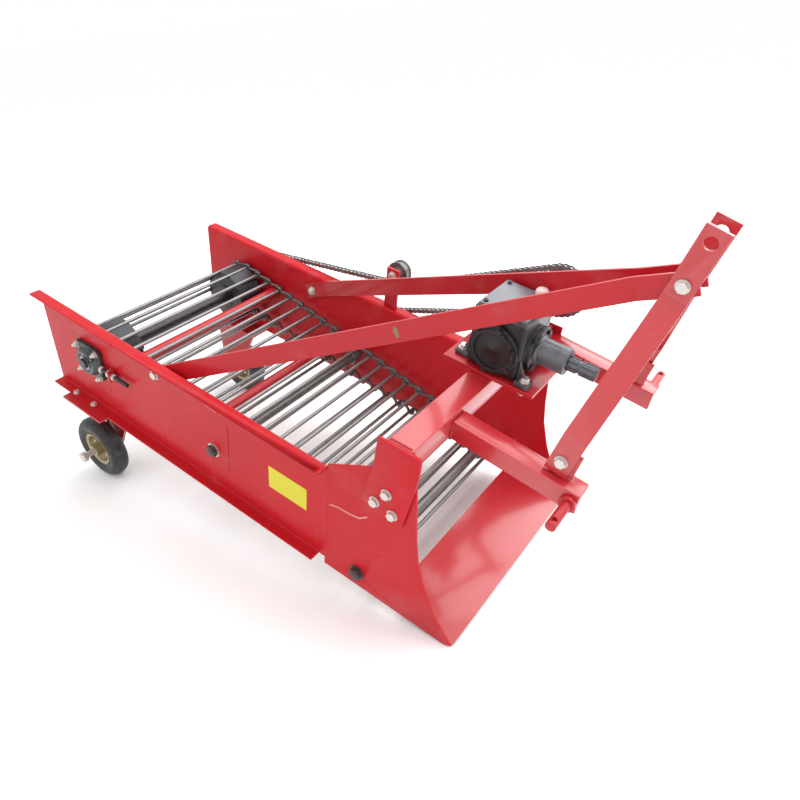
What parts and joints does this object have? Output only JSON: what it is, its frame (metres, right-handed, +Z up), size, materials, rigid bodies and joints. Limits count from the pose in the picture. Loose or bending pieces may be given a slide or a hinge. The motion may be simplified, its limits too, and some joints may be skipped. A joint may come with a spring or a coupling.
{
  "type": "potato digger",
  "caption": "Tractor-mounted potato digger: share, rod web between side plates, side chain drive, gearbox, hitch mast and rear wheels.",
  "frame": {"origin": "middle of the digger's bounding box, on the floor that it stands on", "axes": "+X forward, the way the tractor pulls, +Y to the machine's left, +Z up"},
  "size_m": [1.8312, 0.7912, 0.9213],
  "materials": {
    "red_paint": "gloss red enamel",
    "cast_iron": "dark painted casting",
    "bearing_iron": "dark green-grey casting",
    "cover_steel": "light grey",
    "rod_steel": "rolled rod, worn bright on top",
    "dark_steel": "blackened and oiled",
    "shaft_steel": "machined",
    "zinc": "zinc plated",
    "gold_zinc": "yellow-zinc pressing",
    "drum_rubber": "matt black",
    "tyre_rubber": "matt black"
  },
  "bodies": {
    "chassis": {"side_plate_right": "red_paint", "front_cheek_right": "red_paint", "beam_bracket_right": "red_paint", "side_plate_left": "red_paint", "front_cheek_left": "red_paint", "beam_bracket_left": "red_paint", "share_blade": "red_paint", "cross_beam": "red_paint", "hitch_arm_right": "red_paint", "lower_hitch_pin_right": "red_paint", "hitch_arm_left": "red_paint", "lower_hitch_pin_left": "red_paint", "mast_leg_right": "red_paint", "mast_leg_left": "red_paint", "mast_bolt": "zinc", "brace_bar_right": "red_paint", "brace_bar_left": "red_paint", "gearbox_base_plate": "red_paint", "gearbox_housing": "cast_iron", "gearbox_top_cover": "cover_steel", "output_shaft_housing": "cast_iron", "output_shaft": "shaft_steel", "pto_shaft": "shaft_steel", "drive_chain": "dark_steel", "drive_sprocket": "dark_steel", "driven_sprocket": "dark_steel", "idler_bracket": "red_paint", "idler_roller": "dark_steel", "rod_conveyor": "rod_steel", "rear_drive_shaft": "dark_steel", "drive_drum_right": "drum_rubber", "bearing_housing_right": "bearing_iron", "tension_bolt_right": "zinc", "drive_drum_left": "drum_rubber", "bearing_housing_left": "bearing_iron", "tension_bolt_left": "zinc", "front_roller": "dark_steel", "mid_roller": "dark_steel", "cross_tube_rear": "red_paint", "cross_tube_front": "red_paint", "wheel_bracket_right": "red_paint", "wheel_axle_right": "zinc", "wheel_bracket_left": "red_paint", "wheel_axle_left": "zinc"},
    "wheel_right": {"wheel_rim_right": "gold_zinc", "tyre_right": "tyre_rubber"},
    "wheel_left": {"wheel_rim_left": "gold_zinc", "tyre_left": "tyre_rubber"}
  },
  "joints": [
    {"name": "wheel_right_spin", "type": "hinge", "parent": "chassis", "child": "wheel_right", "pos_m": [-0.80963, -0.31565, 0.106], "axis": [0, 1, 0], "continuous": true},
    {"name": "wheel_left_spin", "type": "hinge", "parent": "chassis", "child": "wheel_left", "pos_m": [-0.80963, 0.30835, 0.106], "axis": [0, 1, 0], "continuous": true}
  ]
}
